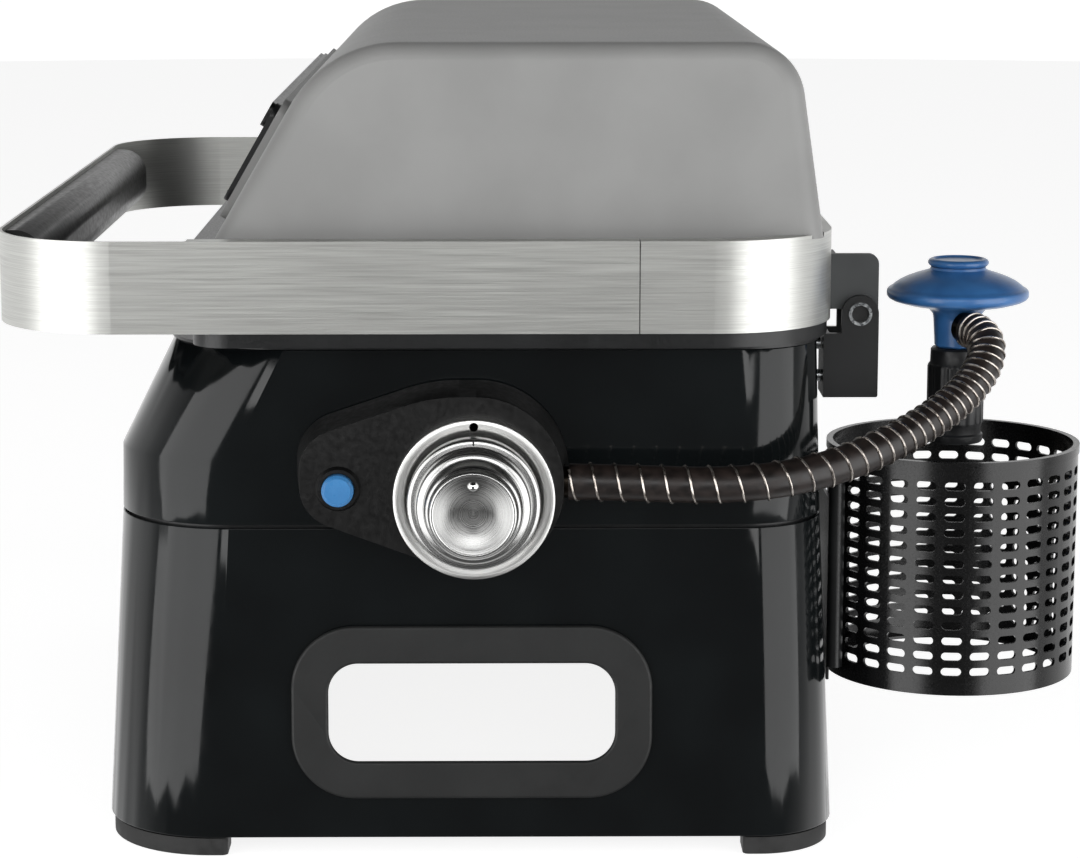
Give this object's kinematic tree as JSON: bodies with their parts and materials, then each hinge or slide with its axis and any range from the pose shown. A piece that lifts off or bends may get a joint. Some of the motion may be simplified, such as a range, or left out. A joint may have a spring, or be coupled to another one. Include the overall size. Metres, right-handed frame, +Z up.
{
  "type": "tabletop gas grill",
  "caption": "Portable tabletop gas grill with a hinged lid and front oven door, wrap-round steel band handle, gas knob, igniter, hose, regulator and perforated cylinder basket.",
  "frame": {"origin": "centre of the footprint on the table, measured without the hose and what is on it", "axes": "+X towards the control knob side, +Y towards the back with the hinges, +Z up"},
  "size_m": [0.6151, 0.5342, 0.3925],
  "materials": {
    "enamel_black": "gloss enamel",
    "black_steel": "satin",
    "black_plastic": "fine moulded texture",
    "foot_rubber": "matte",
    "zinc_screw": "bright zinc",
    "bare_steel": "rolled",
    "cast_iron": "enamelled matt",
    "brushed_band": "lengthwise brushed",
    "lid_paint": "satin powder coat",
    "door_glass": "clear toughened",
    "chrome": "polished and satin",
    "button_blue": "moulded",
    "brass": "machined",
    "electrode_white": "glazed ceramic",
    "regulator_blue": "gloss enamel",
    "nut_black": "moulded",
    "hose_rubber": "matt with steel helix"
  },
  "bodies": {
    "housing": {"lower_housing": "enamel_black", "upper_housing": "enamel_black", "middle_frame": "black_steel", "foot_front_right": "foot_rubber", "foot_front_left": "foot_rubber", "foot_rear_right": "foot_rubber", "foot_rear_left": "foot_rubber", "foot_screws": "zinc_screw", "hand_bezel_right": "black_plastic", "hand_bezel_left": "black_plastic", "fire_bowl": "black_steel", "burner_tube": "bare_steel", "burner_brackets": "bare_steel", "heat_plates": "bare_steel", "tray_rails": "black_steel", "console": "black_plastic", "knob_bezel": "chrome", "valve_body": "brass", "gas_inlet": "brass", "igniter_bezel": "black_plastic", "igniter_module": "black_plastic", "spark_electrode": "electrode_white", "regulator_bonnet": "regulator_blue", "regulator_cap": "regulator_blue", "regulator_body": "regulator_blue", "regulator_nut": "nut_black", "gas_hose": "hose_rubber", "hose_ferrule_valve": "brass", "hose_ferrule_regulator": "brass", "cylinder_basket": "black_steel", "basket_rail": "black_steel", "hinge_base_right": "black_steel", "hinge_base_left": "black_steel", "hinge_pin_right": "zinc_screw", "hinge_pin_left": "zinc_screw", "base_screws": "zinc_screw"},
    "lid": {"lid_shell": "lid_paint", "lid_frame": "black_steel", "band_front": "brushed_band", "band_rear": "brushed_band", "band_rivets": "zinc_screw", "handle_grip": "black_plastic", "hinge_leaf_right": "lid_paint", "hinge_leaf_left": "lid_paint", "door_frame": "lid_paint", "door_pin": "zinc_screw", "leaf_screws": "zinc_screw"},
    "oven_door": {"door_panel": "black_steel", "door_glass": "door_glass", "door_handle": "black_plastic", "door_knuckles": "zinc_screw"},
    "stem": {"valve_stem": "bare_steel"},
    "knob": {"knob_skirt": "chrome", "knob_cap": "chrome", "knob_marker": "chrome"},
    "button": {"igniter_button": "button_blue"},
    "tray": {"grease_tray": "bare_steel", "tray_pull": "bare_steel"},
    "left_grate": {"grate_left": "cast_iron"},
    "right_grate": {"grate_right": "cast_iron"}
  },
  "joints": [
    {"name": "lid_hinge", "type": "hinge", "parent": "housing", "child": "lid", "pos_m": [-0.0293, 0.1511, 0.2602], "axis": [-1, 0, 0], "range_deg": [0, 70]},
    {"name": "door_hinge", "type": "hinge", "parent": "lid", "child": "oven_door", "pos_m": [-0.0293, -0.16101, 0.31218], "axis": [1, 0, 0], "range_deg": [0, 100]},
    {"name": "knob_push", "type": "slide", "parent": "housing", "child": "stem", "axis": [-1, 0, 0], "range_m": [0, 0.003], "stiffness_N_per_m": 600, "springref_m": -0.002},
    {"name": "knob_turn", "type": "hinge", "parent": "stem", "child": "knob", "pos_m": [0.2707, -0.0366, 0.1844], "axis": [1, 0, 0], "range_deg": [0, 200]},
    {"name": "button_press", "type": "slide", "parent": "housing", "child": "button", "axis": [-1, 0, 0], "range_m": [0, 0.004], "stiffness_N_per_m": 400, "springref_m": -0.002},
    {"name": "tray_slide", "type": "slide", "parent": "housing", "child": "tray", "axis": [0, 1, 0], "range_m": [0, 0.2]},
    {"name": "left_grate_lift", "type": "slide", "parent": "housing", "child": "left_grate", "axis": [0, 0, 1], "range_m": [0, 0.04]},
    {"name": "right_grate_lift", "type": "slide", "parent": "housing", "child": "right_grate", "axis": [0, 0, 1], "range_m": [0, 0.04]}
  ]
}
